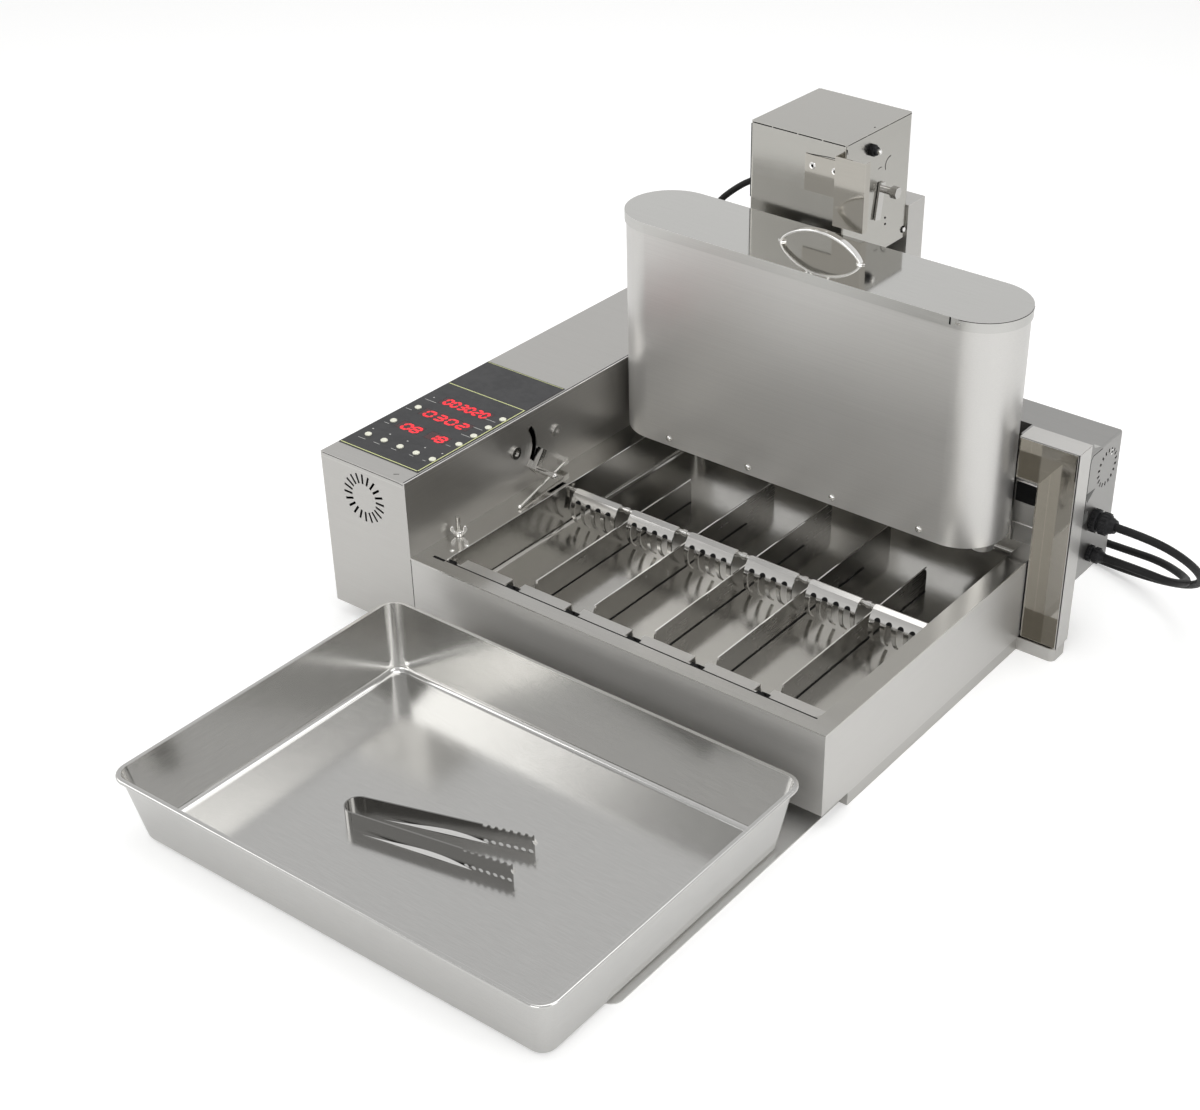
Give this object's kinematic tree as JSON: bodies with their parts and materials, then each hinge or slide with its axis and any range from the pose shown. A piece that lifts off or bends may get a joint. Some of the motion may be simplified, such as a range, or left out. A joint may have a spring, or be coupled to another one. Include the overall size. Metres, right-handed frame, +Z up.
{
  "type": "automatic doughnut machine",
  "caption": "Table-top automatic mini doughnut fryer with a control box, open tank with lane dividers, comb flipper, batter hopper, motor tower, catch pan and tongs.",
  "frame": {"origin": "on the bench under the middle of the machine's base tray, at the flat underside it rests on", "axes": "+Z up, +Y from the front with the pan towards the rear with the tower, +X to the right of someone standing in front"},
  "size_m": [0.8845, 1.142, 0.5325],
  "materials": {
    "steel_sheet": "satin brushed stainless steel",
    "steel_polished": "bright polished stainless steel",
    "steel_dark": "dull grey stainless steel",
    "panel_film": "matt printed film",
    "display_red": "glossy display window",
    "button_pale": "smooth",
    "black_plastic": "moulded",
    "black_rubber": "smooth cord jacket"
  },
  "bodies": {
    "frame": {"base_tray": "steel_sheet", "pan_shelf": "steel_sheet", "control_housing": "steel_sheet", "control_cover": "steel_sheet", "control_film": "panel_film", "display_module": "display_red", "fan_frame": "black_plastic", "tank_casing": "steel_sheet", "frying_tank": "steel_polished", "temperature_probe": "steel_polished", "batter_hopper": "steel_sheet", "column": "steel_sheet", "tower_housing": "steel_sheet", "tower_channel": "steel_sheet", "rear_plate": "steel_sheet", "electrical_box": "steel_sheet", "gland_upper": "black_plastic", "gland_lower": "black_plastic", "cord_upper": "black_rubber", "coil_upper": "black_rubber", "plug_upper": "black_plastic", "cord_lower": "black_rubber", "coil_lower": "black_rubber", "plug_lower": "black_plastic", "tower_cable": "black_rubber", "lane_divider_1": "steel_polished", "lane_divider_2": "steel_polished", "lane_divider_3": "steel_polished", "lane_divider_4": "steel_polished", "lane_divider_5": "steel_polished"},
    "lid": {"hopper_lid": "steel_sheet", "lid_handle": "steel_polished"},
    "pan": {"catch_pan": "steel_polished"},
    "tongs": {"tongs_arm_fixed": "steel_polished"},
    "tongs_swing": {"tongs_arm_swing": "steel_polished"},
    "flipper": {"flipper_shaft": "steel_polished", "flipper_comb_1": "steel_polished", "flipper_comb_2": "steel_polished", "flipper_comb_3": "steel_polished", "flipper_comb_4": "steel_polished", "flipper_comb_5": "steel_polished", "flipper_comb_6": "steel_polished"},
    "rocker": {"drive_rocker": "steel_polished"},
    "lift_plates": {"lifter": "steel_polished"},
    "nut": {"wing_nut": "steel_polished"},
    "plunger": {"plunger_beam": "steel_dark"},
    "crank": {"output_crank": "steel_polished"},
    "knob": {"stroke_knob": "black_plastic"},
    "fan": {"fan_rotor": "black_plastic"},
    "button_01_key": {"button_01": "button_pale"},
    "button_02_key": {"button_02": "button_pale"},
    "button_03_key": {"button_03": "button_pale"},
    "button_04_key": {"button_04": "button_pale"},
    "button_05_key": {"button_05": "button_pale"},
    "button_06_key": {"button_06": "button_pale"},
    "button_07_key": {"button_07": "button_pale"},
    "button_08_key": {"button_08": "button_pale"},
    "button_09_key": {"button_09": "button_pale"},
    "button_10_key": {"button_10": "button_pale"},
    "button_11_key": {"button_11": "button_pale"}
  },
  "joints": [
    {"name": "lid_lift", "type": "slide", "parent": "frame", "child": "lid", "axis": [0, 0, 1], "range_m": [0, 0.12]},
    {"name": "pan_lift", "type": "slide", "parent": "frame", "child": "pan", "axis": [0, 0, 1], "range_m": [0, 0.1]},
    {"name": "tongs_lift", "type": "slide", "parent": "pan", "child": "tongs", "axis": [0, 0, 1], "range_m": [0, 0.12]},
    {"name": "tongs_squeeze", "type": "hinge", "parent": "tongs", "child": "tongs_swing", "pos_m": [-0.04068, -0.59569, 0.0137], "axis": [0, 0, 1], "range_deg": [0, 12], "stiffness_Nm_per_rad": 0.4},
    {"name": "comb_flip", "type": "hinge", "parent": "frame", "child": "flipper", "pos_m": [0.072, -0.05, 0.115], "axis": [1, 0, 0], "range_deg": [0, 180]},
    {"name": "rocker_swing", "type": "hinge", "parent": "frame", "child": "rocker", "pos_m": [-0.2235, -0.111, 0.1803], "axis": [1, 0, 0], "range_deg": [0, 75]},
    {"name": "plate_lift", "type": "hinge", "parent": "frame", "child": "lift_plates", "pos_m": [0.072, -0.267, 0.1122], "axis": [1, 0, 0], "range_deg": [0, 100]},
    {"name": "nut_turn", "type": "hinge", "parent": "frame", "child": "nut", "pos_m": [-0.213, -0.228, 0.13], "axis": [0, 0, 1], "continuous": true},
    {"name": "plunger_stroke", "type": "slide", "parent": "frame", "child": "plunger", "axis": [0, 0, 1], "range_m": [0, 0.025]},
    {"name": "crank_turn", "type": "hinge", "parent": "frame", "child": "crank", "pos_m": [0.032, 0.29, 0.453], "axis": [1, 0, 0], "range_deg": [0, 90]},
    {"name": "knob_turn", "type": "hinge", "parent": "frame", "child": "knob", "pos_m": [0.032, 0.2595, 0.511], "axis": [1, 0, 0], "range_deg": [-150, 150]},
    {"name": "fan_spin", "type": "hinge", "parent": "frame", "child": "fan", "pos_m": [-0.2905, -0.29, 0.181], "axis": [0, 1, 0], "continuous": true},
    {"name": "button_01_press", "type": "slide", "parent": "frame", "child": "button_01_key", "axis": [0, 0, -1], "range_m": [0, 0.0012], "stiffness_N_per_m": 500},
    {"name": "button_02_press", "type": "slide", "parent": "frame", "child": "button_02_key", "axis": [0, 0, -1], "range_m": [0, 0.0012], "stiffness_N_per_m": 500},
    {"name": "button_03_press", "type": "slide", "parent": "frame", "child": "button_03_key", "axis": [0, 0, -1], "range_m": [0, 0.0012], "stiffness_N_per_m": 500},
    {"name": "button_04_press", "type": "slide", "parent": "frame", "child": "button_04_key", "axis": [0, 0, -1], "range_m": [0, 0.0012], "stiffness_N_per_m": 500},
    {"name": "button_05_press", "type": "slide", "parent": "frame", "child": "button_05_key", "axis": [0, 0, -1], "range_m": [0, 0.0012], "stiffness_N_per_m": 500},
    {"name": "button_06_press", "type": "slide", "parent": "frame", "child": "button_06_key", "axis": [0, 0, -1], "range_m": [0, 0.0012], "stiffness_N_per_m": 500},
    {"name": "button_07_press", "type": "slide", "parent": "frame", "child": "button_07_key", "axis": [0, 0, -1], "range_m": [0, 0.0012], "stiffness_N_per_m": 500},
    {"name": "button_08_press", "type": "slide", "parent": "frame", "child": "button_08_key", "axis": [0, 0, -1], "range_m": [0, 0.0012], "stiffness_N_per_m": 500},
    {"name": "button_09_press", "type": "slide", "parent": "frame", "child": "button_09_key", "axis": [0, 0, -1], "range_m": [0, 0.0012], "stiffness_N_per_m": 500},
    {"name": "button_10_press", "type": "slide", "parent": "frame", "child": "button_10_key", "axis": [0, 0, -1], "range_m": [0, 0.0012], "stiffness_N_per_m": 500},
    {"name": "button_11_press", "type": "slide", "parent": "frame", "child": "button_11_key", "axis": [0, 0, -1], "range_m": [0, 0.0012], "stiffness_N_per_m": 500}
  ],
  "couplings": [
    {"joint": "rocker_swing", "follows": "comb_flip", "ratio": 0.41667},
    {"joint": "crank_turn", "follows": "plunger_stroke", "rad_per_m": 62.8}
  ]
}
